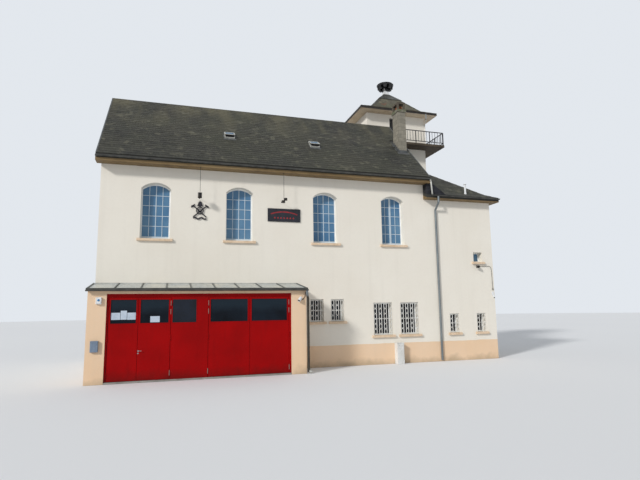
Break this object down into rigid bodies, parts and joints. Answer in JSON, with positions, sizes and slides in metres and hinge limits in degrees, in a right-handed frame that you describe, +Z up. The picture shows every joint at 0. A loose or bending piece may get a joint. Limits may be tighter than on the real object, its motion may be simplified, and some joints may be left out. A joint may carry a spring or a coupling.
{
  "type": "fire museum building",
  "caption": "Two-storey fire museum with a slate roof, hinged red garage doors, a hipped wing and a siren tower with a gallery.",
  "frame": {"origin": "centre of the walls' footprint, garage front included, at the underside of the ground floor, which is the level of the yard before the garage doors", "axes": "+X to the right seen from the street, +Y from the street into the building, +Z up"},
  "size_m": [18.77, 10.02, 16.8095],
  "materials": {
    "cream_render": "painted render",
    "tan_render": "painted render",
    "slate": "weathered slate",
    "red_paint": "satin",
    "white_paint": "painted",
    "glass": "clear",
    "zinc": "weathered",
    "dark_metal": "satin",
    "blockwork": "matt",
    "concrete": "matt",
    "sill": "dressed",
    "black_iron": "painted",
    "beige_paint": "painted",
    "grey_plastic": "matt"
  },
  "bodies": {
    "building": {"ground_floor": "concrete", "upper_floors": "concrete", "front_wall_left": "cream_render", "front_wall_lower": "cream_render", "front_wall_upper": "cream_render", "rear_wall": "cream_render", "left_gable_wall": "cream_render", "right_gable_wall": "cream_render", "garage_lintels": "tan_render", "annex_walls": "tan_render", "annex_roof": "zinc", "wing_front_wall": "cream_render", "wing_side_wall": "cream_render", "tower_front_wall": "cream_render", "tower_side_walls": "cream_render", "tower_rear_wall": "cream_render", "main_roof_front": "slate", "main_roof_rear": "slate", "wing_roof_front": "slate", "wing_roof_side": "slate", "main_eaves": "beige_paint", "wing_eaves": "beige_paint", "slate_cheek": "slate", "gutters": "dark_metal", "downpipes": "zinc", "roof_hatches": "dark_metal", "chimney": "blockwork", "chimney_cap": "concrete", "gallery_slab": "concrete", "gallery_door": "dark_metal", "gallery_railings": "dark_metal", "tower_eaves": "beige_paint", "tower_roof": "slate", "siren_pedestal": "grey_plastic", "siren": "black_iron", "door_posts": "red_paint", "door_head": "red_paint", "fixed_panel": "red_paint", "window_frames": "white_paint", "window_glass": "glass", "window_sills": "sill", "wall_fittings": "grey_plastic"},
    "side_leaf": {"side_leaf": "red_paint", "side_leaf_glass": "glass"},
    "walk_leaf": {"walk_leaf": "red_paint", "walk_leaf_glass": "glass", "door_handle": "black_iron"},
    "gate_leaf_left": {"gate_leaf_left": "red_paint", "gate_left_glass": "glass"},
    "gate_leaf_right": {"gate_leaf_right": "red_paint", "gate_right_glass": "glass"}
  },
  "joints": [
    {"name": "side_leaf_hinge", "type": "hinge", "parent": "building", "child": "side_leaf", "pos_m": [-8.428, -4.564, 0.072], "axis": [0, 0, -1], "range_deg": [0, 95]},
    {"name": "walk_leaf_hinge", "type": "hinge", "parent": "building", "child": "walk_leaf", "pos_m": [-6.28, -4.564, 0.072], "axis": [0, 0, 1], "range_deg": [0, 95]},
    {"name": "gate_left_hinge", "type": "hinge", "parent": "building", "child": "gate_leaf_left", "pos_m": [-4.914, -4.564, 0.072], "axis": [0, 0, -1], "range_deg": [0, 95]},
    {"name": "gate_right_hinge", "type": "hinge", "parent": "building", "child": "gate_leaf_right", "pos_m": [-1.792, -4.564, 0.072], "axis": [0, 0, 1], "range_deg": [0, 95]}
  ]
}
